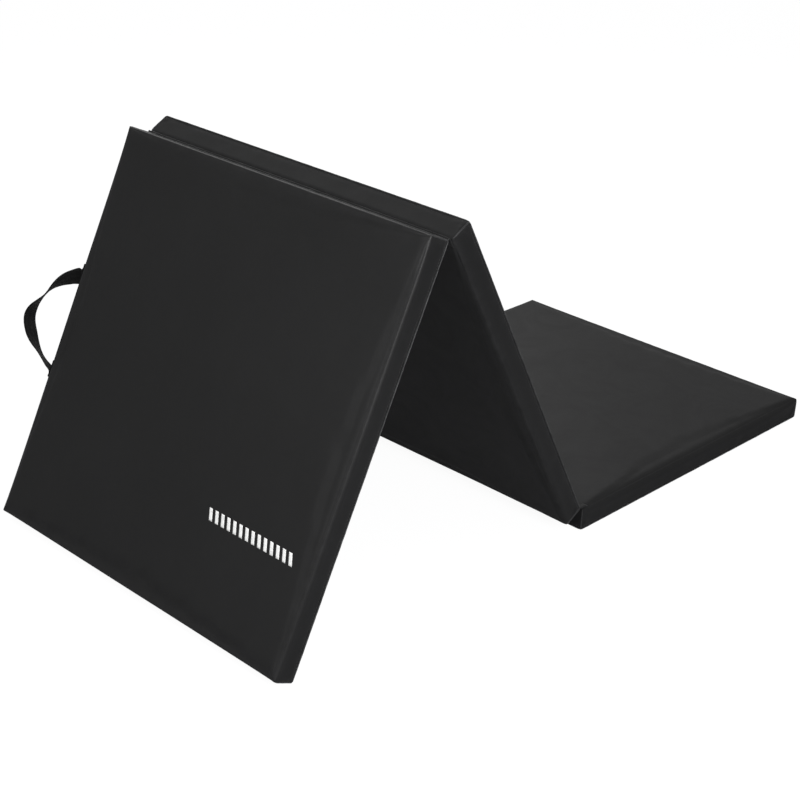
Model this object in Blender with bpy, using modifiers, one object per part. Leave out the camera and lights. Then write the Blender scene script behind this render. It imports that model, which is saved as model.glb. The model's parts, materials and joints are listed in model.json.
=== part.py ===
"""A three-panel folding exercise mat, standing as a tent with one panel flat on the floor.

Metres, +Z up. The origin is the centre of the base panel's underside. +X runs from the tent
towards the base panel's free end, and +Y towards the edge that carries the handles.
Every panel is modelled flat and level; an empty on each fold axis then folds it up.
"""

from math import asin, atan2, cos, hypot, pi, radians, sin

import bmesh
import bpy
from mathutils import Vector

# Panels
PANEL_LENGTH = 0.607
PANEL_WIDTH = 0.610
PANEL_THICKNESS = 0.038
HINGE_GAP = 0.004           # between the ends of two panels when the mat lies flat
AXIS_CLEARANCE = 0.0015     # from a panel's face to the fold axis beside it
BASE_RISE = radians(60.5)   # how far the middle panel rises from the floor

# Covers and cores
VINYL = 0.001               # thickness of the coated cloth
SEAM_GAP = 0.0003           # between two sewn sheets
COVER_ROUND = 0.005         # radius of a cover's rounded edges
ROUND_SEGMENTS = 3
CORE_INSET = 0.0015         # from the cover's outside to the foam
CORE_ZIP_INSET = 0.0046     # the same, behind a zip

# Hinge strips
STRIP_THICKNESS = 0.0007
STRIP_LEAF = 0.015          # how far a strip reaches onto each panel
STRIP_INSET = 0.004         # from the mat's long edges
STRIP_ARC_STEPS = 6

# Zips: v is across the panel's thickness, w outwards from its wall
ZIP_SLOT_LENGTH = 0.560
ZIP_SLOT_WIDTH = 0.012
ZIP_END_MARGIN = 0.008      # from the slot's end to the slider's middle
TAPE_INNER_EDGE = 0.0010    # half the gap that the slider's web runs in
TEETH_OUTER_EDGE = 0.0031
TAPE_OUTER_EDGE = 0.013
TEETH_TOP, TEETH_BOTTOM = -0.0006, -0.0026
TAPE_TOP, TAPE_BOTTOM = -0.0014, -0.0019
SLIDER_LENGTH = 0.010
SLIDER_WIDTH = 0.008
SLIDER_TOP = 0.0009         # outer plate's outer face
SLIDER_OUTER_BOTTOM = -0.0003
SLIDER_INNER_TOP = -0.0029
SLIDER_BOTTOM = -0.0039
PLATE_OVERLAP = 0.0004      # how far the web sinks into each plate
WEB_WIDTH = 0.0014
CROWN_TOP = 0.0039
CROWN_HALF_SPAN = 0.0041
CROWN_BAR = 0.001
PULL_AXIS = 0.0019          # height of the pull's axis over the wall
PULL_THICKNESS = 0.0009
PULL_LENGTH = 0.022
PULL_HALF_WIDTH = 0.0032
PULL_EYE_LENGTH = 0.0052
PULL_EYE_HALF_WIDTH = 0.0013

# Handles
STRAP_WIDTH = 0.025
STRAP_THICKNESS = 0.0016
STRAP_STANDOFF = 0.001      # from the swing axis to the strap's cut ends
HANDLE_HALF_SPAN = 0.076    # from the handle's middle to each sewn end
HANDLE_STEPS = 6            # points on the strap between two stations
TAB_LENGTH = 0.026
TAB_HEIGHT = 0.026
TAB_THICKNESS = 0.0016
SWING_CLEARANCE = 0.0003    # from a tab's outer face to the swing axis

# Stations along a strap from its upper to its lower end: distance along the panel from the
# handle's middle, distance out from the swing axis, lift towards the panel's outer face
STRAP_PATH = (
    (-0.076, 0.004, 0.000),
    (-0.050, 0.049, 0.000),
    (-0.018, 0.078, 0.008),
    (0.012, 0.077, 0.021),
    (0.037, 0.056, 0.030),
    (0.068, 0.030, 0.020),
    (0.076, 0.004, 0.000),
)
# Twist of the strap along its length: share of the length, angle from edge-on to the panel
STRAP_TWIST = (
    (0.00, -90),
    (0.04, -72),
    (0.08, -35),
    (0.17, -10),
    (0.33, 42),
    (0.50, 14),
    (0.67, 3),
    (0.83, 24),
    (0.93, -12),
    (0.97, -60),
    (1.00, -90),
)
LEAD_STRAP_LIFT = 1.0
BASE_STRAP_LIFT = 0.3

HALF_LENGTH = PANEL_LENGTH / 2
HALF_WIDTH = PANEL_WIDTH / 2
PITCH = PANEL_LENGTH + HINGE_GAP
BASE_AXIS_X = -PITCH / 2
MID_HEIGHT = PANEL_THICKNESS / 2


def ridge_height():
    """Height of the ridge axis over the floor."""
    drop = PANEL_THICKNESS + 2 * AXIS_CLEARANCE
    return PANEL_THICKNESS + AXIS_CLEARANCE + PITCH * sin(BASE_RISE) - drop * cos(BASE_RISE)


def lead_lean():
    """Angle from the floor at which the lead panel's inner end edge touches the floor."""
    reach = PANEL_LENGTH + HINGE_GAP / 2
    return asin(ridge_height() / hypot(reach, AXIS_CLEARANCE)) + atan2(AXIS_CLEARANCE, reach)


def new_collection(name):
    collection = bpy.data.collections.new(name)
    bpy.context.scene.collection.children.link(collection)
    return collection


def make_material(name, color, roughness, metallic=0.0):
    material = bpy.data.materials.new(name)
    material.use_nodes = True
    shader = material.node_tree.nodes["Principled BSDF"]
    shader.inputs["Base Color"].default_value = (*color, 1)
    shader.inputs["Roughness"].default_value = roughness
    shader.inputs["Metallic"].default_value = metallic
    return material


def place(obj, collection, material, parent=None, location=(0, 0, 0)):
    """Puts an object in its collection, material and parent's frame."""
    collection.objects.link(obj)
    if material:
        obj.data.materials.append(material)
    obj.parent = parent
    obj.location = location
    return obj


def axis_empty(name, collection, location, rotation=(0, 0, 0), parent=None):
    empty = bpy.data.objects.new(name, None)
    empty.location = location
    empty.rotation_euler = rotation
    empty.parent = parent
    collection.objects.link(empty)
    return empty


def box_mesh(name, low, high, open_side=None):
    """A box between two corners; open_side is the normal of a face to leave out."""
    bm = bmesh.new()
    bmesh.ops.create_cube(bm, size=1)
    low, high = Vector(low), Vector(high)
    bmesh.ops.scale(bm, vec=high - low, verts=bm.verts)
    bmesh.ops.translate(bm, vec=(low + high) / 2, verts=bm.verts)
    if open_side:
        bm.normal_update()
        side = [f for f in bm.faces if f.normal.dot(Vector(open_side)) > 0.9]
        bmesh.ops.delete(bm, geom=side, context="FACES_ONLY")
    mesh = bpy.data.meshes.new(name)
    bm.to_mesh(mesh)
    bm.free()
    return mesh


def add_bevel(obj, width, segments):
    bevel = obj.modifiers.new("rounded_edges", "BEVEL")
    bevel.width = width
    bevel.segments = segments
    bevel.limit_method = "ANGLE"


def add_boolean(obj, other, operation):
    boolean = obj.modifiers.new(f"{operation.lower()}_{other.name}", "BOOLEAN")
    boolean.operation = operation
    boolean.object = other
    other.hide_render = True
    other.display_type = "WIRE"


def outline_mesh(name, loops, thickness):
    """A flat outline in X and Y with holes, as a closed mesh centred on Z = 0."""
    curve = bpy.data.curves.new(name + "_outline", "CURVE")
    curve.dimensions = "2D"
    curve.fill_mode = "BOTH"
    curve.extrude = thickness / 2
    for loop in loops:
        spline = curve.splines.new("POLY")
        spline.points.add(len(loop) - 1)
        for point, (x, y) in zip(spline.points, loop):
            point.co = (x, y, 0, 1)
        spline.use_cyclic_u = True
    guide = bpy.data.objects.new(name + "_outline", curve)
    bpy.context.scene.collection.objects.link(guide)
    evaluated = guide.evaluated_get(bpy.context.evaluated_depsgraph_get())
    mesh = bpy.data.meshes.new_from_object(evaluated)
    bm = bmesh.new()
    bm.from_mesh(mesh)
    bmesh.ops.remove_doubles(bm, verts=bm.verts, dist=1e-6)
    bm.to_mesh(mesh)
    bm.free()
    mesh.name = name
    bpy.data.objects.remove(guide)
    return mesh


def rectangle(x0, y0, x1, y1):
    return [(x0, y0), (x1, y0), (x1, y1), (x0, y1)]


class Panel:
    """One panel of the mat, in its own flat frame: X and Y from its centre, Z from its underside."""

    def __init__(self, name, parts, cutters, materials, parent, centre, closing, zip_side):
        self.name = name
        self.parts = parts
        self.cutters = cutters
        self.materials = materials
        self.parent = parent
        self.centre = Vector(centre)
        self.closing_at_top = closing == "top"
        self.zip_side = zip_side

    def add(self, suffix, mesh, slot, location=(0, 0, 0), parent=None):
        obj = bpy.data.objects.new(f"{self.name}_{suffix}", mesh)
        where = Vector(location) if parent else self.centre + Vector(location)
        return place(obj, self.parts, self.materials[slot], parent or self.parent, where)

    def add_cover(self):
        """The boxed part of the cover: one face and four walls, open where the sheet closes it."""
        rim = VINYL + SEAM_GAP
        bottom, top = (0, PANEL_THICKNESS - rim) if self.closing_at_top else (rim, PANEL_THICKNESS)
        open_side = (0, 0, 1 if self.closing_at_top else -1)
        low = (-HALF_LENGTH, -HALF_WIDTH, bottom)
        high = (HALF_LENGTH, HALF_WIDTH, top)
        cover = self.add("cover", box_mesh("cover", low, high, open_side), "vinyl")
        add_bevel(cover, COVER_ROUND, ROUND_SEGMENTS)
        solidify = cover.modifiers.new("cloth", "SOLIDIFY")
        solidify.thickness = VINYL
        solidify.offset = -1
        solidify.use_even_offset = True
        add_boolean(cover, self.add_slot_cutter(), "DIFFERENCE")

    def add_closing_sheet(self):
        """The flat sheet sewn round the cover's rim, with the same rounded corners."""
        bottom = PANEL_THICKNESS - VINYL if self.closing_at_top else 0
        bm = bmesh.new()
        bm.from_mesh(box_mesh("sheet_block", (-HALF_LENGTH, -HALF_WIDTH, bottom),
                              (HALF_LENGTH, HALF_WIDTH, bottom + VINYL)))
        upright = [e for e in bm.edges if abs(e.verts[0].co.z - e.verts[1].co.z) > VINYL / 2]
        bmesh.ops.bevel(bm, geom=upright, offset=COVER_ROUND, segments=ROUND_SEGMENTS,
                        profile=0.5, affect="EDGES")
        mesh = bpy.data.meshes.new("closing_sheet")
        bm.to_mesh(mesh)
        bm.free()
        self.add("closing_sheet", mesh, "vinyl")

    def add_core(self):
        """The foam, set back further behind the zip."""
        low = Vector((-HALF_LENGTH + CORE_INSET, -HALF_WIDTH + CORE_INSET, CORE_INSET + SEAM_GAP))
        high = Vector((-low.x, -low.y, PANEL_THICKNESS - low.z))
        setback = CORE_ZIP_INSET - CORE_INSET
        if self.zip_side == "+x":
            high.x -= setback
        elif self.zip_side == "-x":
            low.x += setback
        else:
            high.y -= setback
        core = self.add("foam_core", box_mesh("foam_core", low, high), "foam")
        add_bevel(core, COVER_ROUND - CORE_INSET, ROUND_SEGMENTS)

    def zip_frame(self):
        """Where the zip's frame stands: X along the zip, Y outwards, Z across the thickness."""
        if self.zip_side == "+x":
            return Vector((HALF_LENGTH, 0, MID_HEIGHT)), -pi / 2
        if self.zip_side == "-x":
            return Vector((-HALF_LENGTH, 0, MID_HEIGHT)), pi / 2
        return Vector((0, HALF_WIDTH, MID_HEIGHT)), 0.0

    def zip_empty(self):
        where, turn = self.zip_frame()
        return axis_empty(f"{self.name}_zip_frame", self.parts, self.centre + where,
                          (0, 0, turn), self.parent)

    def add_slot_cutter(self):
        """The block that opens the wall for the zip."""
        half, depth = ZIP_SLOT_LENGTH / 2, 2 * VINYL
        mesh = box_mesh("slot", (-half, -depth, -ZIP_SLOT_WIDTH / 2), (half, depth, ZIP_SLOT_WIDTH / 2))
        cutter = bpy.data.objects.new(f"{self.name}_zip_slot", mesh)
        where, turn = self.zip_frame()
        place(cutter, self.cutters, None, self.parent, self.centre + where)
        cutter.rotation_euler = (0, 0, turn)
        return cutter

    def add_zip(self):
        """Two tapes with their teeth, the slider and its pull."""
        frame = self.zip_empty()
        for suffix, side in (("outer", 1), ("inner", -1)):
            tape = self.add(f"zip_tape_{suffix}", tape_mesh(side), "tape", (0, 0, 0), frame)
            tape.rotation_euler = (pi / 2, 0, pi / 2)
        closed = (-ZIP_SLOT_LENGTH / 2 + ZIP_END_MARGIN, 0, 0)
        slider_axis = axis_empty(f"{self.name}_slider_axis", self.parts, closed, parent=frame)
        self.add_slider(slider_axis)
        pull_axis = axis_empty(f"{self.name}_pull_axis", self.parts, (0, PULL_AXIS, 0),
                               parent=slider_axis)
        pull = self.add("zip_pull", pull_mesh(), "metal", (0, 0, 0), pull_axis)
        pull.rotation_euler = (pi / 2, 0, 0)

    def add_slider(self, axis):
        """The slider: a web and crown cut from one profile, joined to an outer and an inner plate."""
        inner, chamfer = CROWN_HALF_SPAN - CROWN_BAR, CROWN_BAR / 2
        reach = SLIDER_LENGTH / 2 - PLATE_OVERLAP
        foot, shoulder = SLIDER_BOTTOM + PLATE_OVERLAP, SLIDER_TOP - PLATE_OVERLAP
        body = [(-reach, foot), (reach, foot),
                (reach, shoulder), (CROWN_HALF_SPAN, shoulder),
                (CROWN_HALF_SPAN, CROWN_TOP - chamfer), (CROWN_HALF_SPAN - chamfer, CROWN_TOP),
                (chamfer - CROWN_HALF_SPAN, CROWN_TOP), (-CROWN_HALF_SPAN, CROWN_TOP - chamfer),
                (-CROWN_HALF_SPAN, shoulder), (-reach, shoulder)]
        window = rectangle(-inner, SLIDER_TOP - PLATE_OVERLAP / 2, inner, CROWN_TOP - CROWN_BAR)
        mesh = outline_mesh("slider_web", [body, window], WEB_WIDTH)
        slider = self.add("zip_slider", mesh, "metal", (0, 0, 0), axis)
        half_length, half_width = SLIDER_LENGTH / 2, SLIDER_WIDTH / 2
        for name, low, high in (("outer", SLIDER_OUTER_BOTTOM, SLIDER_TOP),
                                ("inner", SLIDER_BOTTOM, SLIDER_INNER_TOP)):
            plate = bpy.data.objects.new(
                f"{self.name}_slider_{name}_plate",
                box_mesh("plate", (-half_length, low, -half_width), (half_length, high, half_width)))
            place(plate, self.cutters, None, axis)
            add_boolean(slider, plate, "UNION")

    def add_handle_tabs(self, names, handle_x):
        """The strap's sewn ends, flat on the wall."""
        for name, side in zip(names, (-1, 1)):
            x = handle_x + side * HANDLE_HALF_SPAN
            low = (x - TAB_LENGTH / 2, HALF_WIDTH + SEAM_GAP, MID_HEIGHT - TAB_HEIGHT / 2)
            high = (x + TAB_LENGTH / 2, HALF_WIDTH + SEAM_GAP + TAB_THICKNESS,
                    MID_HEIGHT + TAB_HEIGHT / 2)
            tab = self.add(f"handle_tab_{name}", box_mesh("tab", low, high), "webbing")
            add_bevel(tab, TAB_THICKNESS / 4, 1)

    def add_handle(self, lift):
        """The strap, on an empty that stands on its swing axis. Its upper end is the one nearer +X."""
        out = HALF_WIDTH + SEAM_GAP + TAB_THICKNESS + SWING_CLEARANCE
        axis = axis_empty(f"{self.name}_handle_axis", self.parts,
                          self.centre + Vector((0, out, MID_HEIGHT)), parent=self.parent)
        strap = bpy.data.objects.new(f"{self.name}_handle_strap", strap_curve(lift))
        place(strap, self.parts, self.materials["webbing"], axis)


def tape_mesh(side):
    """One tape with its row of teeth, as a profile in v and w drawn along the zip."""
    profile = [(TAPE_INNER_EDGE, TEETH_TOP), (TAPE_INNER_EDGE, TEETH_BOTTOM),
               (TEETH_OUTER_EDGE, TEETH_BOTTOM), (TEETH_OUTER_EDGE, TAPE_BOTTOM),
               (TAPE_OUTER_EDGE, TAPE_BOTTOM), (TAPE_OUTER_EDGE, TAPE_TOP),
               (TEETH_OUTER_EDGE, TAPE_TOP), (TEETH_OUTER_EDGE, TEETH_TOP)]
    # the outline's X becomes the zip frame's outward Y, and its Y the frame's Z
    outline = [(w, side * v) for v, w in profile]
    return outline_mesh("zip_tape", [outline], ZIP_SLOT_LENGTH)


def pull_mesh():
    """The pull tab, flat along X from its eye."""
    eye_end = PULL_THICKNESS / 2
    tip = PULL_LENGTH
    chamfer = PULL_HALF_WIDTH / 2
    outline = [(-eye_end, -PULL_HALF_WIDTH), (tip - chamfer, -PULL_HALF_WIDTH),
               (tip, -PULL_HALF_WIDTH + chamfer), (tip, PULL_HALF_WIDTH - chamfer),
               (tip - chamfer, PULL_HALF_WIDTH), (-eye_end, PULL_HALF_WIDTH)]
    eye = rectangle(eye_end, -PULL_EYE_HALF_WIDTH, PULL_EYE_LENGTH, PULL_EYE_HALF_WIDTH)
    return outline_mesh("zip_pull", [outline, eye], PULL_THICKNESS)


def smooth_path(stations, steps):
    """Points on a smooth curve through the stations, with both ends square to the wall."""
    stations = [Vector(s) for s in stations]
    before, after = stations[1].copy(), stations[-2].copy()
    before.y = 2 * stations[0].y - before.y
    after.y = 2 * stations[-1].y - after.y
    ends = [before, *stations, after]
    points = []
    for a, b, c, d in zip(ends, ends[1:], ends[2:], ends[3:]):
        for step in range(steps):
            t = step / steps
            points.append((2 * b + (c - a) * t + (2 * a - 5 * b + 4 * c - d) * t**2
                           + (3 * b - a - 3 * c + d) * t**3) / 2)
    return [*points, stations[-1]]


def twist_at(share):
    """The strap's twist in radians at a share of its length."""
    for (s0, a0), (s1, a1) in zip(STRAP_TWIST, STRAP_TWIST[1:]):
        if share <= s1:
            return radians(a0 + (a1 - a0) * (share - s0) / (s1 - s0))
    return radians(STRAP_TWIST[-1][1])


def strap_curve(lift):
    """A handle strap as a flat, twisted ribbon. Along the panel is -X, because it hangs from +X."""
    stations = [(-along, out, up * lift) for along, out, up in STRAP_PATH]
    points = smooth_path(stations, HANDLE_STEPS)
    points.insert(0, Vector((points[0].x, STRAP_STANDOFF, points[0].z)))
    points.append(Vector((points[-1].x, STRAP_STANDOFF, points[-1].z)))
    curve = bpy.data.curves.new("handle_strap", "CURVE")
    curve.dimensions = "3D"
    curve.twist_mode = "Z_UP"
    curve.fill_mode = "FULL"
    curve.bevel_depth = STRAP_THICKNESS / 2
    curve.bevel_resolution = 0
    curve.extrude = (STRAP_WIDTH - STRAP_THICKNESS) / 2
    curve.use_fill_caps = True
    spline = curve.splines.new("POLY")
    spline.points.add(len(points) - 1)
    for i, (point, co) in enumerate(zip(spline.points, points)):
        point.co = (*co, 1)
        point.tilt = -twist_at(i / (len(points) - 1))
    return curve


def bent_strip_mesh(bend, concave):
    """A hinge strip in the fixed panel's frame, about the fold axis at the origin.

    Its fixed leaf runs along +X and its folded leaf along -X turned by bend about the axis;
    concave is +1 where the strip folds up and -1 where it folds down.
    """
    radius = AXIS_CLEARANCE - SEAM_GAP - STRIP_THICKNESS / 2
    arm = STRIP_LEAF + HINGE_GAP / 2
    section = [(arm, -concave * radius)]
    for step in range(STRIP_ARC_STEPS + 1):
        angle = bend * step / STRIP_ARC_STEPS
        section.append((-radius * sin(angle), -concave * radius * cos(angle)))
    section.append((-radius * sin(bend) - arm * cos(bend),
                    -concave * (radius * cos(bend) - arm * sin(bend))))
    bm = bmesh.new()
    y = HALF_WIDTH - STRIP_INSET
    near = [bm.verts.new((px, -y, pz)) for px, pz in section]
    edges = [bm.edges.new(pair) for pair in zip(near, near[1:])]
    grown = bmesh.ops.extrude_edge_only(bm, edges=edges)["geom"]
    far = [v for v in grown if isinstance(v, bmesh.types.BMVert)]
    bmesh.ops.translate(bm, vec=(0, 2 * y, 0), verts=far)
    mesh = bpy.data.meshes.new("hinge_strip")
    bm.to_mesh(mesh)
    bm.free()
    return mesh


def add_hinge_strip(name, parts, materials, location, bend, concave, parent=None):
    """A strip sewn across two panels' faces, curved round the fold axis."""
    strip = bpy.data.objects.new(name, bent_strip_mesh(bend, concave))
    place(strip, parts, materials["vinyl"], parent, location)
    solidify = strip.modifiers.new("cloth", "SOLIDIFY")
    solidify.thickness = STRIP_THICKNESS
    solidify.offset = 0
    solidify.use_even_offset = True


def build():
    for obj in list(bpy.data.objects):
        bpy.data.objects.remove(obj)
    parts = new_collection("folding_mat")
    cutters = new_collection("cutters")
    materials = {
        "vinyl": make_material("black_vinyl", (0.022, 0.022, 0.023), 0.45),
        "foam": make_material("grey_foam", (0.55, 0.56, 0.58), 0.9),
        "webbing": make_material("black_webbing", (0.015, 0.015, 0.015), 0.8),
        "tape": make_material("zip_tape", (0.02, 0.02, 0.02), 0.8),
        "metal": make_material("blackened_metal", (0.05, 0.05, 0.05), 0.35, 1.0),
    }

    base_axis = axis_empty("base_fold_axis", parts,
                           (BASE_AXIS_X, 0, PANEL_THICKNESS + AXIS_CLEARANCE), (0, BASE_RISE, 0))
    ridge_bend = BASE_RISE + lead_lean()
    ridge_axis = axis_empty("ridge_fold_axis", parts,
                            (-PITCH, 0, -PANEL_THICKNESS - 2 * AXIS_CLEARANCE),
                            (0, -ridge_bend, 0), base_axis)

    base = Panel("base", parts, cutters, materials, None, (0, 0, 0), "bottom", "+x")
    middle = Panel("middle", parts, cutters, materials, base_axis,
                   (-PITCH / 2, 0, -PANEL_THICKNESS - AXIS_CLEARANCE), "top", "+y")
    lead = Panel("lead", parts, cutters, materials, ridge_axis,
                 (-PITCH / 2, 0, AXIS_CLEARANCE), "bottom", "-x")
    for panel in (base, middle, lead):
        panel.add_cover()
        panel.add_closing_sheet()
        panel.add_core()
        panel.add_zip()
    for panel, names in ((base, ("left", "right")), (lead, ("lower", "upper"))):
        panel.add_handle_tabs(names, 0)
    lead.add_handle(LEAD_STRAP_LIFT)
    base.add_handle(BASE_STRAP_LIFT)

    add_hinge_strip("base_hinge_strip", parts, materials,
                    (BASE_AXIS_X, 0, PANEL_THICKNESS + AXIS_CLEARANCE), BASE_RISE, 1)
    add_hinge_strip("ridge_hinge_strip", parts, materials,
                    (-PITCH, 0, -PANEL_THICKNESS - 2 * AXIS_CLEARANCE), ridge_bend, -1, base_axis)


build()
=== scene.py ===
"""Looks for the folding exercise mat: soft sewn panels, fold hinges, webbing handles and zips.

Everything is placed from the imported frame. Lengths are in metres. Each panel is built in its own
frame: X along the mat, Z from the closing sheet's face to the cover's face, origin at its centre.
"""

import json
import random
from math import atan2, ceil, cos, exp, pi, radians, sin, sqrt, tanh

import bmesh
import bpy
from mathutils import Matrix, Vector, noise
from mathutils.bvhtree import BVHTree


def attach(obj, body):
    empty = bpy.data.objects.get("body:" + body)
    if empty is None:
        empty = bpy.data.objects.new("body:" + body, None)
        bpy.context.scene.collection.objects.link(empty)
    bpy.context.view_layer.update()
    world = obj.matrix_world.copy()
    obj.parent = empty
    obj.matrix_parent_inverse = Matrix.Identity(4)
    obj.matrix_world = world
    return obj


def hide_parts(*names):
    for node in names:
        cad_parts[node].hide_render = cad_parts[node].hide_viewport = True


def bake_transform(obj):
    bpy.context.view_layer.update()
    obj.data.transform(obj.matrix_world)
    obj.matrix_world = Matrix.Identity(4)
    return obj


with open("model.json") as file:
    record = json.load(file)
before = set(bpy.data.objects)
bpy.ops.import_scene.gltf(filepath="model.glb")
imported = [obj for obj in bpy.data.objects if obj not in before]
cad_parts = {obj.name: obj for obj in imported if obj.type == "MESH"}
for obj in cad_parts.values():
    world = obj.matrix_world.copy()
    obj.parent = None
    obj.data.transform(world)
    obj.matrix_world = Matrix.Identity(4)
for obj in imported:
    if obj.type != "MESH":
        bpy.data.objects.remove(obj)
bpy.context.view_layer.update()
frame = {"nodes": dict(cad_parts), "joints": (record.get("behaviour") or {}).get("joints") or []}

SIDE = Vector((0, 1, 0))
JOINTS = {j["name"]: j for j in frame["joints"]}

# Soft panel shape
WALL_INSET = 0.0004         # the starting shape stands inside the CAD walls and faces
FACE_INSET = 0.0012
CORNER_ROUND = 0.003        # upright corners, pulled tight by their seams
END_ROUND = 0.0045          # the cover's face edges at a panel's two ends, away from the corners
SIDE_ROUND = 0.0078         # the same along its sides
BASE_NEAR_ROUND, BASE_FAR_ROUND = 0.0150, 0.0060    # the panel that lies flat sags on its near side
EDGE_EASE = 0.035           # how far from a corner that rounding is reached
RIM_ROUND = 0.0018          # the sewn rim
# A face's grid lines, inwards from its edges, and the step between those further in
FINE_LINES = (0, .0012, .0025, .0042, .006, .0085, .0115, .0155, .0205, .027, .035)
SHEET_STITCH = FINE_LINES[4]    # from the closing sheet's edge to its stitches
COARSE_STEP = 0.0098
CLOTH = 0.0005              # the coated cloth's own thickness
FOAM_INSET = 0.0010

# Cloth simulation
FRAMES = 20
CLOTH_SETTINGS = {
    "quality": 6, "mass": 0.35, "air_damping": 2, "vertex_group_mass": "seams",
    "tension_stiffness": 18, "compression_stiffness": 18, "shear_stiffness": 8,
    "bending_stiffness": 0.8, "tension_damping": 12, "compression_damping": 12,
    "use_pressure": True, "uniform_pressure_force": 4.0,
    "shrink_min": -0.012,   # negative shrinkage: the cloth is cut a little too large
}
FACE_CAP, SHEET_CAP, WALL_CAP = 0.0021, 0.0010, 0.0012    # furthest that each part may swell
DENT_CAP, SLIDE_CAP = 0.0003, 0.0008    # the foam stops cloth moving in, and its grip sideways

# Zips
SLOT_HALF_LENGTH = 0.280
SLOT_HALF_WIDTH = 0.005
ZIP_RIDGE = 0.0064          # from the zip's middle to the folded edge of the cloth
ZIP_STITCH = 0.008          # and to its stitch rows
ZIP_PINNED = 0.0084
TAPE_TOP, TAPE_BOTTOM = -0.00142, -0.0019
TAPE_PROFILE = ((0.0010, 0.0), (0.0014, 0.00012), (0.0030, 0.00012), (0.0034, 0.0), (0.006, 0.0),
                (0.008, 0.0), (0.0102, 0.0))    # across the tape, and how far its cord is raised
TAPE_STEPS = 140
TOOTH_PITCH = 0.0014
TOOTH_REACH = (-0.0007, 0.0031)     # from the zip's middle to a tooth's two ends
TOOTH_TOP, TOOTH_BOTTOM = -0.0006, -0.0026
TEETH_MARGIN = 0.003

# Studio
FLOOR_REACH = 30
WORLD = 0.39
OVERHEAD, LEFT, NEAR, BACK = 13, 26, 26, 6.5    # watts

# Seams
STITCH_PITCH, STITCH_LENGTH, THREAD = 0.0042, 0.0032, 0.00027   # a thread's half thickness
RIM_STITCH = 0.0042         # from the rim to the stitch rows beside it
RIM_BEAD = (0.0015, 0.00085)    # half sizes of the raised rim seam, outwards and across
CORNER_BEAD = 0.0011
GROOVE = 0.00035            # how deep a row of stitches pulls the cloth in
WAVE = 0.00045              # the faces' slow waves
PUCKER, PUCKER_AT, PUCKER_REACH = 0.0007, 0.010, 0.012  # the gathers beside a seam
ZIP_FOLD, ZIP_GROOVE = 0.00022, 0.0002

# Hinge strips
STRIP_THICKNESS = 0.0006
STRIP_GAP = 0.00085         # from the fold's axis to the strip's middle, over the panels' faces
STRIP_EDGE = 0.0022         # from the panels' long edges
STRIP_STATIONS = (0.0165, 0.0135, 0.0105, 0.0075, 0.0045, 0.0025, 0.0012)   # out from the axis
STRIP_ROWS = 150
STRIP_STITCHES = (0.0065, 0.0142)   # rows of stitches, out from the axis
STRIP_STITCH_EDGE = 0.008           # from a strip's ends

# Handles
STRAP_WIDTH, STRAP_THICKNESS = 0.025, 0.0014
STRAP_RIB = 0.0019
BOX_STITCH = (-0.0045, 0.0105, 0.0095)  # nearest and furthest along the tab, and half its height
BOX_STITCH_PITCH = 0.0026
TAB_STEPS = 18

# Printed bars: their number, the row's length, a bar's height and slant, and the row's middle
BARS, MARK_LENGTH, BAR_HEIGHT, BAR_SLANT = 14, 0.170, 0.0165, 0.006
MARK_X, MARK_Y = -0.1485, -0.182
PRINT_TOP, PRINT_BOTTOM = 0.00022, -0.00012     # over the cloth


def joint_axis(name):
    return Vector(JOINTS[name]["axis"]).normalized()


class Panel:
    """A panel's frame and size, read from its CAD cover and closing sheet."""

    def __init__(self, name, along, thickness, closing_up, zip_side):
        self.name = name
        self.body = name + "_panel"
        flip = -1 if closing_up else 1
        self.axes = (along, SIDE * flip, thickness * flip)
        points = [v.co for part in ("cover", "closing_sheet")
                  for v in frame["nodes"][f"{name}_{part}"].data.vertices]
        low = [min(p.dot(a) for p in points) for a in self.axes]
        high = [max(p.dot(a) for p in points) for a in self.axes]
        self.half = Vector([(b - a) / 2 for a, b in zip(low, high)])
        centre = sum((a * (l + h) / 2 for a, l, h in zip(self.axes, low, high)), Vector())
        self.matrix = Matrix.Translation(centre) @ Matrix(self.axes).transposed().to_4x4()
        self.zip_side = Vector(zip_side)

    def zip_matrix(self):
        """The zip's own frame: X along it, Y outwards, Z across the thickness."""
        out, across = self.zip_side, Vector((0, 0, 1))
        along = out.cross(across)
        turn = Matrix((along, out, across)).transposed().to_4x4()
        where = Vector([s * h for s, h in zip(out, self.half)])
        return self.matrix @ Matrix.Translation(where) @ turn


PANELS = [
    Panel("base", Vector((1, 0, 0)), joint_axis("base_pull_swing"), False, (1, 0, 0)),
    Panel("middle", joint_axis("middle_zip_slide"), joint_axis("middle_pull_swing"), True, (0, -1, 0)),
    Panel("lead", -joint_axis("lead_handle_swing"), joint_axis("lead_pull_swing"), False, (-1, 0, 0)),
]
BASE, MIDDLE, LEAD = PANELS


# ---- meshes

def add_object(name, data):
    obj = bpy.data.objects.new(name, data)
    bpy.context.scene.collection.objects.link(obj)
    return obj


def new_piece(name, mesh, body, material, replaces=()):
    """A finished mesh in world coordinates becomes a piece, which rides on the body if one is given."""
    obj = add_object(name, mesh)
    mesh.materials.append(material)
    mesh.shade_smooth()
    if body:
        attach(obj, body)
    if replaces:
        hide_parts(*replaces)
    return obj


def mesh_from(name, verts, faces, matrix=None):
    mesh = bpy.data.meshes.new(name)
    mesh.from_pydata([tuple(v) for v in verts], [], faces)
    mesh.validate()
    if matrix:
        mesh.transform(matrix)
    mesh.update()
    return mesh


def face_outwards(mesh):
    bm = bmesh.new()
    bm.from_mesh(mesh)
    bmesh.ops.recalc_face_normals(bm, faces=bm.faces)
    bm.to_mesh(mesh)
    bm.free()
    return mesh


def set_wear_and_painted_highlight(mesh, worn):
    """Marks how rubbed each point of a cloth mesh is, from 0 to 1; on the seam beads and the hinge
    strips' ends these values also paint highlight.
    """
    mesh.attributes.new("wear", "FLOAT", "POINT").data.foreach_set("value", worn)
    return mesh


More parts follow.
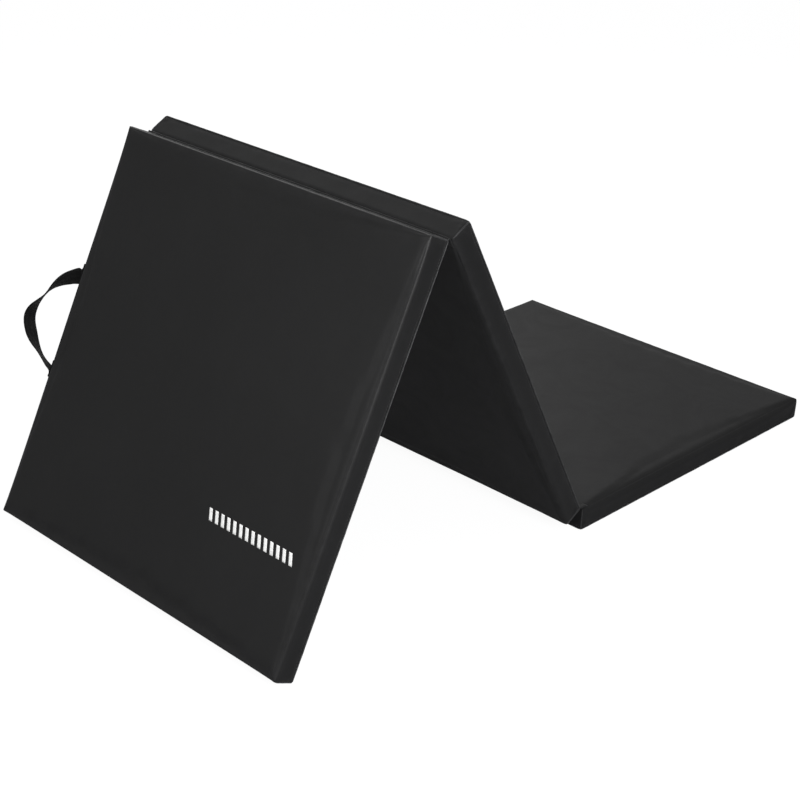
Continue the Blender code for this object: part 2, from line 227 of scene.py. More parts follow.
def slab(rows, columns, point):
    """A closed sheet: point(layer, row, column) gives its outer layer 0 and its inner layer 1."""
    verts = [point(layer, i, j)
             for layer in (0, 1) for i in range(rows + 1) for j in range(columns + 1)]
    def at(layer, i, j):
        return (layer * (rows + 1) + i) * (columns + 1) + j
    faces = []
    for i in range(rows):
        for j in range(columns):
            faces += [(at(k, i, j), at(k, i, j + 1), at(k, i + 1, j + 1), at(k, i + 1, j))
                      for k in (0, 1)]
        faces += [(at(0, i, j), at(0, i + 1, j), at(1, i + 1, j), at(1, i, j)) for j in (0, columns)]
    for j in range(columns):
        faces += [(at(0, i, j), at(0, i, j + 1), at(1, i, j + 1), at(1, i, j)) for i in (0, rows)]
    return verts, faces


def sweep(verts, faces, rings, closed=False):
    """Adds a tube through rings of points, with flat ends unless it closes on itself."""
    base, n, count = len(verts), len(rings[0]), len(rings)
    for ring in rings:
        verts.extend(ring)
    for i in range(count if closed else count - 1):
        a, b = base + i * n, base + (i + 1) % count * n
        faces.extend((a + s, a + (s + 1) % n, b + (s + 1) % n, b + s) for s in range(n))
    if not closed:
        faces.append(tuple(range(base + n - 1, base - 1, -1)))
        faces.append(tuple(range(base + (count - 1) * n, base + count * n)))


def tube(verts, faces, path, normals, radii, sides, closed):
    """Adds a tube along a path. radii(i) gives its half sizes along the normal and across it."""
    rings, count = [], len(path)
    for i, (p, n) in enumerate(zip(path, normals)):
        before = path[i - 1] if closed or i else path[0]
        after = path[(i + 1) % count] if closed or i < count - 1 else path[-1]
        along = (after - before).normalized()
        n = (n - along * n.dot(along)).normalized()
        across = along.cross(n)
        up, wide = radii(i)
        turns = [2 * pi * s / sides for s in range(sides)]
        rings.append([p + n * up * cos(a) + across * wide * sin(a) for a in turns])
    sweep(verts, faces, rings, closed)


def resample(path, pitch, closed):
    """The path's points at an even pitch."""
    points = list(path) + ([path[0]] if closed else [])
    runs = [0.0]
    for a, b in zip(points, points[1:]):
        runs.append(runs[-1] + (b - a).length)
    count = max(2, round(runs[-1] / pitch))
    out, k = [], 0
    for i in range(count if closed else count + 1):
        at = runs[-1] * i / count
        while k < len(runs) - 2 and runs[k + 1] < at:
            k += 1
        span = runs[k + 1] - runs[k]
        out.append(points[k].lerp(points[k + 1], (at - runs[k]) / span if span else 0))
    return out


# ---- materials

class Nodes:
    """Shorthand for building the nodes of a material, or of the world."""

    def __init__(self, name, world=None):
        self.owner = world or bpy.data.materials.new(name)
        self.owner.use_nodes = True
        self.tree = self.owner.node_tree
        self.shader = self.tree.nodes["Background" if world else "Principled BSDF"]

    def add(self, kind, **settings):
        node = self.tree.nodes.new("ShaderNode" + kind)
        for key, value in settings.items():
            if hasattr(node, key):
                setattr(node, key, value)
            else:
                node.inputs[key.replace("_", " ")].default_value = value
        return node

    def link(self, out, into):
        self.tree.links.new(out, into)

    def value(self, socket, source):
        if hasattr(source, "is_output"):
            self.link(source, socket)
        else:
            socket.default_value = source

    def math(self, operation, a, b=0.0, c=0.0):
        node = self.add("Math", operation=operation)
        for socket, source in zip(node.inputs, (a, b, c)):
            self.value(socket, source)
        return node.outputs[0]

    def texture(self, kind, output="Fac", **settings):
        """A texture laid out in the object's own coordinates."""
        node = self.add("Tex" + kind, **settings)
        self.link(self.add("TexCoord").outputs["Object"], node.inputs["Vector"])
        return node.outputs[output]

    def noise(self, scale, detail=2.0, roughness=0.5):
        return self.texture("Noise", Scale=scale, Detail=detail, Roughness=roughness)

    def cells(self, **settings):
        return self.texture("Voronoi", "Distance", **settings)

    def ramp(self, source, stops):
        node = self.add("ValToRGB")
        ramp = node.color_ramp
        while len(ramp.elements) < len(stops):
            ramp.elements.new(0.5)
        for element, (at, value) in zip(ramp.elements, stops):
            element.position = at
            element.color = (value, value, value, 1)
        self.link(source, node.inputs[0])
        return node.outputs["Color"]

    def mix(self, factor, a, b):
        node = self.add("Mix", data_type="RGBA")
        self.value(node.inputs["Factor"], factor)
        self.value(node.inputs["A"], a)
        self.value(node.inputs["B"], b)
        return node.outputs["Result"]

    def bump(self, height, strength, distance, normal=None):
        node = self.add("Bump", Strength=strength, Distance=distance)
        self.link(height, node.inputs["Height"])
        if normal:
            self.link(normal, node.inputs["Normal"])
        return node.outputs[0]

    def finish(self, **sockets):
        for key, source in sockets.items():
            self.value(self.shader.inputs[key.replace("_", " ")], source)
        return self.owner


def grey(value):
    return (value, value, value * 1.03, 1)


def vinyl_material(name, tone=0.86, worn_and_highlight_tone=0.026, shine=0.215):
    """Black coated cloth: fine embossed grain, faint scuffs, paler along seams and worn edges; on the
    seam beads and the hinge strips' ends that paling is partly painted highlight.
    """
    n = Nodes(name)
    broad = n.noise(5.5, 4.0, 0.6)
    fine = n.noise(140.0, 3.0)
    color = n.mix(n.ramp(broad, ((0.3, 0.0), (0.7, 1.0))), grey(0.0062 * tone), grey(0.0086 * tone))
    color = n.mix(n.math("MULTIPLY", fine, 0.35), color, grey(0.0125 * tone))
    # The wear attribute pales the colour: real rubbing on the covers, and painted highlight on the seam
    # beads and the hinge strips' ends.
    wear = n.add("Attribute", attribute_name="wear").outputs["Fac"]
    rubbed = n.math("MULTIPLY", wear, n.ramp(n.noise(60.0, 4.0, 0.65), ((0.35, 0.35), (0.7, 1.0))))
    color = n.mix(n.math("MULTIPLY", rubbed, 0.55), color, grey(worn_and_highlight_tone))
    scuffs = n.texture("Noise", Scale=9.0, Detail=8.0, Roughness=0.7, Distortion=1.6)
    rough = n.ramp(scuffs, ((0.30, 0.43), (0.72, 0.53)))
    rough = n.mix(n.math("MULTIPLY", wear, 0.5), rough, grey(0.38))
    grain = n.cells(feature="SMOOTH_F1", Scale=1150.0, Smoothness=0.6, Randomness=0.9)
    normal = n.bump(grain, 0.22, 0.00022)
    normal = n.bump(n.noise(3400.0, 2.0), 0.10, 0.00008, normal)
    normal = n.bump(n.noise(38.0, 3.0), 0.10, 0.0012, normal)
    return n.finish(Base_Color=color, Roughness=rough, Normal=normal, Specular_IOR_Level=shine,
                    Sheen_Weight=0.02, Sheen_Roughness=0.5)


def webbing_material(name, dark=0.0019, light=0.0052, rib=0.0019):
    """Woven polyester webbing, from its UVs in metres: V across it, U along it."""
    n = Nodes(name)
    uv = n.add("UVMap", uv_map="weave").outputs[0]
    split = n.add("SeparateXYZ")
    n.link(uv, split.inputs[0])
    u, v = split.outputs[0], split.outputs[1]
    fold = n.math("PINGPONG", v, 0.0042)
    slanted = n.math("MULTIPLY_ADD", fold, 0.85, u)
    weft = n.math("SINE", n.math("MULTIPLY", slanted, 2 * pi / rib))
    warp = n.math("ABSOLUTE", n.math("SINE", n.math("MULTIPLY", v, pi / 0.00085)))
    height = n.math("MULTIPLY_ADD", warp, 0.6, n.math("MULTIPLY", weft, 0.5))
    tone = n.math("MULTIPLY_ADD", height, 0.42, 0.42)
    fuzz = n.noise(900.0, 3.0)
    color = n.mix(tone, grey(dark), grey(light))
    color = n.mix(n.math("MULTIPLY", fuzz, 0.4), color, grey(light * 1.5))
    normal = n.bump(height, 0.75, 0.00035)
    normal = n.bump(fuzz, 0.25, 0.0002, normal)
    rough = n.ramp(fuzz, ((0.3, 0.68), (0.7, 0.84)))
    return n.finish(Base_Color=color, Roughness=rough, Normal=normal, Specular_IOR_Level=0.14,
                    Sheen_Weight=0.05, Sheen_Roughness=0.4)


def thread_material(name, tone):
    """Twisted sewing thread."""
    n = Nodes(name)
    twist = n.texture("Wave", wave_type="BANDS", bands_direction="DIAGONAL", Scale=620.0,
                      Distortion=1.5, Detail=2.0)
    color = n.mix(twist, grey(tone * 0.7), grey(tone * 1.35))
    normal = n.bump(twist, 0.4, 0.0001)
    rough = n.ramp(n.noise(300.0), ((0.3, 0.5), (0.7, 0.68)))
    return n.finish(Base_Color=color, Roughness=rough, Normal=normal, Sheen_Weight=0.1)


def foam_material():
    """Closed-cell foam."""
    n = Nodes("foam_cells")
    walls = n.ramp(n.cells(feature="DISTANCE_TO_EDGE", Scale=520.0), ((0.0, 1.0), (0.12, 0.0)))
    color = n.mix(n.noise(30.0, 3.0), (0.44, 0.45, 0.47, 1), (0.58, 0.59, 0.61, 1))
    color = n.mix(walls, color, (0.72, 0.73, 0.75, 1))
    normal = n.bump(walls, 0.5, 0.0004)
    rough = n.ramp(n.noise(200.0), ((0.3, 0.8), (0.7, 0.95)))
    return n.finish(Base_Color=color, Roughness=rough, Normal=normal)


def metal_material():
    """Black enamelled zinc, rubbed through to bare metal along its edges."""
    n = Nodes("enamelled_zinc")
    bevel = n.add("Bevel", Radius=0.0004)
    geometry = n.add("NewGeometry")
    apart = n.add("VectorMath", operation="DISTANCE")
    n.link(bevel.outputs[0], apart.inputs[0])
    n.link(geometry.outputs["Normal"], apart.inputs[1])
    speck = n.noise(900.0, 4.0, 0.65)
    edge = n.ramp(n.math("MULTIPLY", apart.outputs["Value"], n.math("ADD", speck, 0.4)),
                  ((0.28, 0.0), (0.62, 1.0)))
    color = n.mix(edge, grey(0.018), (0.42, 0.41, 0.39, 1))
    rough = n.ramp(n.noise(500.0, 3.0), ((0.3, 0.26), (0.7, 0.42)))
    normal = n.bump(n.noise(1500.0, 2.0), 0.12, 0.0001)
    return n.finish(Base_Color=color, Roughness=rough, Normal=normal, Metallic=edge)


def teeth_material():
    """Moulded nylon teeth."""
    n = Nodes("nylon_teeth")
    color = n.mix(n.noise(300.0, 3.0), grey(0.010), grey(0.020))
    rough = n.ramp(n.noise(800.0), ((0.3, 0.3), (0.7, 0.46)))
    normal = n.bump(n.noise(2200.0), 0.2, 0.0001)
    return n.finish(Base_Color=color, Roughness=rough, Normal=normal)


def print_material():
    """White heat-pressed print, slightly crazed and thin in places."""
    n = Nodes("white_print")
    cracks = n.ramp(n.cells(feature="DISTANCE_TO_EDGE", Scale=160.0), ((0.0, 0.0), (0.035, 1.0)))
    faded = n.math("MULTIPLY", cracks, n.ramp(n.noise(220.0, 4.0, 0.7), ((0.30, 0.86), (0.45, 1.0))))
    color = n.mix(faded, (0.62, 0.62, 0.62, 1), (0.91, 0.91, 0.90, 1))
    normal = n.bump(cracks, 0.15, 0.0001)
    rough = n.ramp(n.noise(90.0, 3.0), ((0.3, 0.5), (0.7, 0.66)))
    return n.finish(Base_Color=color, Roughness=rough, Normal=normal, Specular_IOR_Level=0.3)


VINYL = vinyl_material("black_vinyl")
# Lighter copy of the vinyl for the seam beads: its raised tone and pale worn tone paint a highlight
# along the seams, partly also wear.
SEAM_VINYL_PAINTED_HIGHLIGHT = vinyl_material("black_vinyl_seam", 1.9, 0.095, 0.25)
WEBBING = webbing_material("black_webbing")
ZIP_TAPE = webbing_material("zip_tape_weave", 0.004, 0.010, 0.0009)
SEAM_THREAD = thread_material("seam_thread", 0.019)
FOAM = foam_material()
METAL = metal_material()
TEETH = teeth_material()
PRINT = print_material()


# ---- soft panels

def grid_lines(half):
    """Lines across a face: close together near both edges, even in between, one at each slot end."""
    inner = half - FINE_LINES[-1]
    count = round(2 * inner / COARSE_STEP)
    middle = [-inner + 2 * inner * i / count for i in range(1, count)]
    edge = [half - f for f in FINE_LINES]
    lines = [-e for e in edge] + middle + edge
    lines = [x for x in lines if abs(abs(x) - SLOT_HALF_LENGTH) > 0.0032]
    return sorted(lines + [-SLOT_HALF_LENGTH, SLOT_HALF_LENGTH])


def wall_lines(half):
    """Lines up a wall, from the rim to the face, with the zip slot's edges among them."""
    zip_lines = [0.0025, SLOT_HALF_WIDTH, ZIP_RIDGE, ZIP_STITCH]
    lines = {0.0, half, -half, -half + RIM_ROUND / 2, -half + RIM_ROUND, -half + RIM_STITCH,
             -half + RIM_STITCH + 0.0022, half - 0.002, half - 0.0042, half - 0.0065, half - 0.0092}
    return sorted(lines | {s * z for z in zip_lines for s in (-1, 1)})


class RoundedBox:
    """A box on a grid that wraps all six sides, with its edges rounded."""

    def __init__(self, half, lines, side_rounds, centre=Vector()):
        self.half, self.lines, self.side_rounds, self.centre = half, lines, side_rounds, centre
        self.index, self.flat, self.faces = {}, [], []
        for axis in range(3):
            for end in (0, 1):
                self.add_side(axis, end)
        self.rest = [self.rounded(p) + centre for p in self.flat]
        self.points = [p.copy() for p in self.rest]

    def add_side(self, axis, end):
        a, b = [k for k in range(3) if k != axis]
        fixed = len(self.lines[axis]) - 1 if end else 0
        flip = (end == 1) == (axis == 1)
        for i in range(len(self.lines[a]) - 1):
            for j in range(len(self.lines[b]) - 1):
                quad = []
                for di, dj in ((0, 0), (1, 0), (1, 1), (0, 1)):
                    key = [0, 0, 0]
                    key[axis], key[a], key[b] = fixed, i + di, j + dj
                    quad.append(self.vertex(tuple(key)))
                self.faces.append(tuple(reversed(quad)) if flip else tuple(quad))

    def vertex(self, key):
        if key not in self.index:
            self.index[key] = len(self.flat)
            self.flat.append(Vector([self.lines[k][key[k]] for k in range(3)]))
        return self.index[key]

    def face_round(self, p):
        """The radius of the face's edge nearest to a point: tight at corners, softer between."""
        to_end, to_side = self.half.x - abs(p.x), self.half.y - abs(p.y)
        share = (to_side + 1e-9) / (to_end + to_side + 2e-9)
        full = END_ROUND * share + self.side_rounds[p.y > 0] * (1 - share)
        return CORNER_ROUND + (full - CORNER_ROUND) * (1 - exp(-max(to_end, to_side) / EDGE_EASE))

    def rounded(self, p):
        """A point of the square box, moved onto the rounded one."""
        h = self.half
        down = RIM_ROUND if p.z < 0 else self.face_round(p)
        reach = max(CORNER_ROUND, down) if h.z - abs(p.z) < self.side_rounds[p.y > 0] else CORNER_ROUND
        r = Vector((reach, reach, down))
        q = Vector([max(r[k] - h[k], min(h[k] - r[k], p[k])) for k in range(3)])
        d = Vector([(p[k] - q[k]) / r[k] for k in range(3)])
        if d.length < 1e-9:
            return p.copy()
        d.normalize()
        return q + Vector([d[k] * r[k] for k in range(3)])


def side_rounds(panel):
    """The radii along a panel's two sides, the near one first."""
    return (BASE_NEAR_ROUND, BASE_FAR_ROUND) if panel is BASE else (SIDE_ROUND, SIDE_ROUND)


class Pad(RoundedBox):
    """The closed, sewn outside of one panel."""

    def __init__(self, panel):
        self.panel = panel
        half = panel.half - Vector((WALL_INSET, WALL_INSET, FACE_INSET))
        lines = (grid_lines(half.x), grid_lines(half.y), wall_lines(half.z))
        super().__init__(half, lines, side_rounds(panel))

    def on_rim(self, p):
        wall = max(abs(p.x) - self.half.x, abs(p.y) - self.half.y)
        return wall > -1e-6 and self.on_sheet(p)

    def on_sheet(self, p):
        return p.z < -self.half.z + 1e-6

    def on_corner(self, p):
        return abs(p.x) > self.half.x - 1e-6 and abs(p.y) > self.half.y - 1e-6

    def zip_coords(self, p):
        """(distance along the zip, distance across it) of a point on the zip's wall, else None."""
        side = self.panel.zip_side
        if p.dot(side) < abs(self.half.dot(side)) - 1e-6:
            return None
        return p.dot(side.cross(Vector((0, 0, 1)))), p.z

    def pinned(self, p):
        at = self.zip_coords(p)
        in_zip = at and abs(at[0]) < SLOT_HALF_LENGTH + 0.006 and abs(at[1]) < ZIP_PINNED
        return self.on_rim(p) or self.on_corner(p) or bool(in_zip)

    def cap(self, p):
        if p.z > self.half.z - 1e-6:
            return FACE_CAP
        return SHEET_CAP if self.on_sheet(p) else WALL_CAP

    def inflate(self):
        """Cloth under pressure, held at its seams, then capped so that it stays a firm mat."""
        obj = add_object("pad", mesh_from("pad", self.rest, self.faces))
        group = obj.vertex_groups.new(name="seams")
        group.add([i for i, p in enumerate(self.flat) if self.pinned(p)], 1.0, "REPLACE")
        cloth = obj.modifiers.new("cloth", "CLOTH")
        for key, value in CLOTH_SETTINGS.items():
            setattr(cloth.settings, key, value)
        cloth.settings.effector_weights.gravity = 0
        cloth.collision_settings.use_collision = False
        cloth.point_cache.frame_end = FRAMES
        scene = bpy.context.scene
        for step in range(1, FRAMES + 1):
            scene.frame_set(step)
        moved = obj.evaluated_get(bpy.context.evaluated_depsgraph_get()).to_mesh()
        for i, vertex in enumerate(moved.vertices):
            shift = vertex.co - self.rest[i]
            out = self.outward(self.flat[i])
            rise = shift.dot(out)
            slide = shift - out * rise
            limit = self.cap(self.flat[i]) if rise > 0 else DENT_CAP
            self.points[i] = self.rest[i] + out * limit * tanh(rise / limit)
            if slide.length > 1e-9:
                self.points[i] += slide.normalized() * SLIDE_CAP * tanh(slide.length / SLIDE_CAP)
        scene.frame_set(1)
        bpy.data.objects.remove(obj)

    def swell(self):
        for i, p in enumerate(self.flat):
            if self.pinned(p):
                continue
            edge = min(self.half.x - abs(p.x), self.half.y - abs(p.y))
            rise = self.cap(p) * 0.8 * (1 - exp(-max(edge, 0.004) / 0.02))
            self.points[i] = self.rest[i] + self.outward(p) * rise

    def outward(self, p):
        h = self.half
        n = Vector([(abs(p[k]) > h[k] - 1e-6) * (1 if p[k] > 0 else -1) for k in range(3)])
        return n.normalized()

    def detail(self):
        """Sewn puckers beside the seams, slow waves in the faces and grooves under the stitches."""
        for i, p in enumerate(self.flat):
            if self.on_rim(p) or self.on_corner(p):
                continue
            out = self.outward(p)
            world = self.panel.matrix @ p
            lift = WAVE * noise.noise(world * 9.0)
            at = self.zip_coords(p)
            edge_x, edge_y = self.half.x - abs(p.x), self.half.y - abs(p.y)
            edge = min(edge_x, edge_y)
            along = Vector((p.y, p.x, 0.3)) if edge_x < edge_y else Vector((p.x, p.y, 7.1))
            on_wall = edge < 1e-6
            if at is None:
                ripple = noise.noise(Vector((along.x * 38.0, along.z * 9.0, 0.0)) + world * 3.0)
                reach = self.half.z + p.z if on_wall else edge
                lift += PUCKER * ripple * exp(-((reach - PUCKER_AT) / PUCKER_REACH) ** 2)
            on_sheet = self.on_sheet(p)
            to_seam = p.z + self.half.z - RIM_STITCH if on_wall else edge - SHEET_STITCH
            if (on_wall or on_sheet) and abs(to_seam) < 1e-6:
                lift -= GROOVE
            if at and abs(at[0]) < SLOT_HALF_LENGTH + 0.001:
                across = abs(at[1])
                lift = 0.0 if across < SLOT_HALF_WIDTH - 1e-6 else lift * 0.3
                lift += ZIP_FOLD * (abs(across - ZIP_RIDGE) < 1e-6)
                lift -= ZIP_GROOVE * (abs(across - ZIP_STITCH) < 1e-6)
            self.points[i] = self.points[i] + out * (min(lift, 0.0) if on_sheet else lift)

    def wear(self, p):
        """How rubbed the cloth is, from 0 to 1: most along the rounded edges and beside seams."""
        gaps = sorted(self.half[k] - abs(p[k]) for k in range(3))
        most = 0.3 if self.panel is BASE else 1.0
        return most * exp(-gaps[1] / 0.0062)

    def side_mesh(self, name, keep):
        """The faces that keep says, as a mesh in world coordinates with the wear on its points."""
        kept = [face for face in self.faces if keep([self.flat[i] for i in face])]
        order = list(dict.fromkeys(i for face in kept for i in face))
        new = {i: k for k, i in enumerate(order)}
        faces = [tuple(new[i] for i in face) for face in kept]
        mesh = mesh_from(name, [self.points[i] for i in order], faces, self.panel.matrix)
        return set_wear_and_painted_highlight(mesh, [self.wear(self.flat[i]) for i in order])

    def in_slot(self, corners):
        spots = [self.zip_coords(p) for p in corners]
        return all(s and abs(s[0]) < SLOT_HALF_LENGTH + 1e-6 and abs(s[1]) < SLOT_HALF_WIDTH + 1e-6
                   for s in spots)

    def rim_path(self):
        """The rim's points in order round the panel."""
        rim = [i for i, p in enumerate(self.flat) if self.on_rim(p)]
        def turn(i):
            p = self.flat[i]
            return atan2(p.y / self.half.y, p.x / self.half.x)
        return [self.points[i] for i in sorted(rim, key=turn)]

    def corner_path(self, sx, sy):
        """The points of one upright corner, from the rim to the face."""
        corner = [i for i, p in enumerate(self.flat)
                  if self.on_corner(p) and p.x * sx > 0 and p.y * sy > 0]
        return [self.points[i] for i in sorted(corner, key=lambda i: self.flat[i].z)]


def build_pad(panel):
    pad = Pad(panel)
    pad.inflate()
    pad.detail()
    for name, node, keep in (
            ("cover", "cover", lambda quad: not all(map(pad.on_sheet, quad)) and not pad.in_slot(quad)),
            ("closing", "closing_sheet", lambda quad: all(map(pad.on_sheet, quad)))):
        cloth = new_piece(f"{panel.name}_{name}_cloth", pad.side_mesh(name, keep), panel.body,
                          VINYL, (f"{panel.name}_{node}",))
        shell = cloth.modifiers.new("cloth_thickness", "SOLIDIFY")
        shell.thickness = CLOTH
        shell.offset = -1
        shell.use_even_offset = False
    pad.surface = BVHTree.FromPolygons([panel.matrix @ p for p in pad.points], pad.faces)
    return pad


def add_foam(panel):
    """The core, cut with slightly uneven faces and edges eased to suit the cover."""
    low, high = panel_box(panel, f"{panel.name}_foam_core")
    half = (high - low) / 2 - Vector((1, 1, 1)) * FOAM_INSET
    lines = []
    for k in range(3):
        fine = [half[k] - f for f in (0, 0.001, 0.0025, 0.0045, 0.0078, 0.0112, 0.0150)]
        count = round(2 * fine[-1] / 0.02)
        middle = [-fine[-1] + 2 * fine[-1] * i / count for i in range(1, count)]
        lines.append(sorted([-f for f in fine] + middle + fine))
    block = RoundedBox(half, lines, side_rounds(panel), (low + high) / 2)
    verts = [p + (p - block.centre).normalized() * 0.0003 * noise.noise(p * 60.0) for p in block.points]
    mesh = mesh_from("foam", verts, block.faces, panel.matrix)
    new_piece(f"{panel.name}_foam_block", mesh, panel.body, FOAM, (f"{panel.name}_foam_core",))


# ---- seams

def add_rim_bead(pad):
    """The two sewn cloth edges that stand out all round the closing sheet."""
    path = resample(pad.rim_path(), 0.004, True)
    normals, points, swell = [], [], []
    for p in path:
        out = Vector((p.x, p.y, 0))
        out -= Vector([max(-pad.half[k] + CORNER_ROUND, min(pad.half[k] - CORNER_ROUND, p[k]))
                       for k in (0, 1)] + [0])
        out.normalize()
        spot = pad.panel.matrix @ p
        points.append(p + out * (0.0005 + 0.00022 * noise.noise(spot * 60.0)) + Vector((0, 0, 0.0004)))
        normals.append(out)
        swell.append(1 + 0.16 * noise.noise(spot * 150.0))
    verts, faces = [], []
    tube(verts, faces, points, normals, lambda i: [size * swell[i] for size in RIM_BEAD], 10, True)
    # Nearly full wear on the bead pales it: a painted highlight along the seam, partly also rubbing.
    mesh = set_wear_and_painted_highlight(mesh_from("rim", verts, faces, pad.panel.matrix), [0.9] * len(verts))
    new_piece(f"{pad.panel.name}_rim_seam", mesh, pad.panel.body, SEAM_VINYL_PAINTED_HIGHLIGHT)


def add_corner_beads(pad):
    """The raised seams up the cover's four corners."""
    verts, faces = [], []
    for sx in (-1, 1):
        for sy in (-1, 1):
            path = resample(pad.corner_path(sx, sy), 0.002, False)
            out = Vector((sx, sy, 0)).normalized()
            last = len(path) - 1
            def radii(i):
                size = CORNER_BEAD * min(1.0, 0.2 + (last - i) / 4)
                size *= 1 + 0.15 * noise.noise(path[i] * 300.0)
                return size, size * 0.9
            tube(verts, faces, [p + out * 0.0002 for p in path], [out] * len(path), radii, 8, False)
    # Wear on the corner beads pales them: a painted highlight up each corner seam, partly also rubbing.
    mesh = set_wear_and_painted_highlight(mesh_from("corners", verts, faces, pad.panel.matrix), [0.7] * len(verts))
    new_piece(f"{pad.panel.name}_corner_seams", mesh, pad.panel.body, SEAM_VINYL_PAINTED_HIGHLIGHT)


class Stitches:
    """Many stitches in one mesh, each a small tapered rod half sunk in the cloth."""

    RINGS = ((-0.5, 0.25, -0.9), (-0.34, 1.0, 0.25), (0.34, 1.0, 0.25), (0.5, 0.25, -0.9))
    SIDES = 5

    def __init__(self, seed):
        self.verts, self.faces = [], []
        self.random = random.Random(seed)

    def add(self, centre, along, normal):
        lean = self.random.uniform(-0.07, 0.07)
        across = along.cross(normal).normalized()
        along = (along + across * lean).normalized()
        across = along.cross(normal).normalized()
        length = STITCH_LENGTH * self.random.uniform(0.93, 1.05)
        turns = [2 * pi * s / self.SIDES for s in range(self.SIDES)]
        rings = []
        for at, size, lift in self.RINGS:
            middle = centre + along * at * length + normal * lift * THREAD
            rings.append([middle + (across * cos(a) + normal * sin(a)) * THREAD * size for a in turns])
        sweep(self.verts, self.faces, rings)

    def run(self, surface, path, closed, guide, pitch=STITCH_PITCH, sink=0.0):
        """A row along a path near the surface. guide tells which side of the surface is meant."""
        points = resample(path, pitch, closed)
        count = len(points)
        for i in range(count if closed else count - 1):
            a, b = points[i], points[(i + 1) % count]
            middle, along = (a + b) / 2, (b - a).normalized()
            spot, normal = middle, guide(middle)
            if surface:
                spot, normal = surface.find_nearest(middle)[:2]
            if normal.dot(guide(middle)) < 0:
                normal = -normal
            along = (along - normal * along.dot(normal)).normalized()
            self.add(spot - normal * sink, along, normal)

    def piece(self, name, body):
        mesh = face_outwards(mesh_from(name, self.verts, self.faces))
        new_piece(name, mesh, body, SEAM_THREAD)


def inset_loop(pad, inset, z):
    """A rounded rectangle round the panel, inset from its walls, at a height."""
    r = max(CORNER_ROUND - inset, 0.001)
    hx, hy = pad.half.x - inset - r, pad.half.y - inset - r
    points = []
    for quarter, (cx, cy) in enumerate(((hx, hy), (-hx, hy), (-hx, -hy), (hx, -hy))):
        for step in range(5):
            a = pi / 2 * (quarter + step / 4)
            points.append(Vector((cx + r * cos(a), cy + r * sin(a), z)))
    return points


def add_rim_stitches(pad):
    panel = pad.panel
    to_world = panel.matrix
    turn = to_world.to_3x3()
    centre = to_world.translation
    stitches = Stitches(panel.name)
    wall = [to_world @ p for p in inset_loop(pad, 0.0, -pad.half.z + RIM_STITCH)]
    def outwards(p):
        local = turn.transposed() @ (p - centre)
        x, y = local.x / pad.half.x, local.y / pad.half.y
        return turn @ (Vector((x, 0, 0)) if abs(x) > abs(y) else Vector((0, y, 0))).normalized()
    stitches.run(pad.surface, wall, True, outwards)
    sheet = [to_world @ p for p in inset_loop(pad, SHEET_STITCH, -pad.half.z)]
    down = turn @ Vector((0, 0, -1))
    sink = 0.0003 if panel is BASE else 0.0
    stitches.run(pad.surface, sheet, True, lambda p: down, sink=sink)
    stitches.piece(f"{panel.name}_rim_stitches", panel.body)


# ---- zips

def ribbon_uv(mesh, uvs):
    layer = mesh.uv_layers.new(name="weave")
    for loop in mesh.loops:
        layer.data[loop.index].uv = uvs[loop.vertex_index]


def add_tape(panel, side, suffix):
    """One woven tape: a thin strip with a raised cord along its inner edge."""
    ring = [(v, TAPE_TOP + lift) for v, lift in TAPE_PROFILE] + \
        [(v, TAPE_BOTTOM) for v, _ in reversed(TAPE_PROFILE)]
    verts, faces, rings = [], [], []
    for i in range(TAPE_STEPS + 1):
        u = -SLOT_HALF_LENGTH + 2 * SLOT_HALF_LENGTH * i / TAPE_STEPS
        rings.append([Vector((u, w, side * v)) for v, w in ring])
    sweep(verts, faces, rings)
    uvs = [(p.x, abs(p.z)) for p in verts]
    mesh = face_outwards(mesh_from("tape", verts, faces, panel.zip_matrix()))
    ribbon_uv(mesh, uvs)
    name = panel.name
    new_piece(f"{name}_zip_tape_cloth_{suffix}", mesh, panel.body, ZIP_TAPE,
              (f"{name}_zip_tape_{suffix}",))


def tooth(u, side, verts, faces):
    """One moulded tooth, reaching a little past the zip's middle, with a rounded head."""
    (near, far), half, drop, chamfer = TOOTH_REACH, TOOTH_PITCH * 0.21, 0.0004, 0.00012
    ring = [(far, TOOTH_BOTTOM), (far, TOOTH_TOP - drop), (far - drop, TOOTH_TOP),
            (near + drop, TOOTH_TOP), (near, TOOTH_TOP - drop), (near, TOOTH_BOTTOM)]
    rings = []
    for du, shrink in ((-half, chamfer), (-half * 0.6, 0.0), (half * 0.6, 0.0), (half, chamfer)):
        rings.append([Vector((u + du, w - shrink if w > TOOTH_BOTTOM else w,
                              side * (v + shrink if v < 0.001 else v - shrink))) for v, w in ring])
    sweep(verts, faces, rings)


def add_teeth(panel):
    verts, faces = [], []
    first = -SLOT_HALF_LENGTH + TEETH_MARGIN
    for i in range(int(-2 * first / TOOTH_PITCH)):
        for side, shift in ((1, 0.5), (-1, 1.0)):
            tooth(first + (i + shift) * TOOTH_PITCH, side, verts, faces)
    mesh = face_outwards(mesh_from("teeth", verts, faces, panel.zip_matrix()))
    new_piece(f"{panel.name}_zip_teeth", mesh, panel.body, TEETH)


def add_zip_stitches(pad):
    panel = pad.panel
    matrix = panel.zip_matrix()
    stitches = Stitches(panel.name + "_zip")
    out = matrix.to_3x3() @ Vector((0, 1, 0))
    long, end = SLOT_HALF_LENGTH - 0.002, SLOT_HALF_LENGTH + 0.004
    rows = [((-long, side), (long, side)) for side in (-1, 1)]
    rows += [((s * end, -1), (s * end, 1)) for s in (-1, 1)]
    for ends in rows:
        row = [matrix @ Vector((u, 0, side * ZIP_STITCH)) for u, side in ends]
        stitches.run(pad.surface, row, False, lambda p: out)
    stitches.piece(f"{panel.name}_zip_stitches", panel.body)


# ---- fold hinges

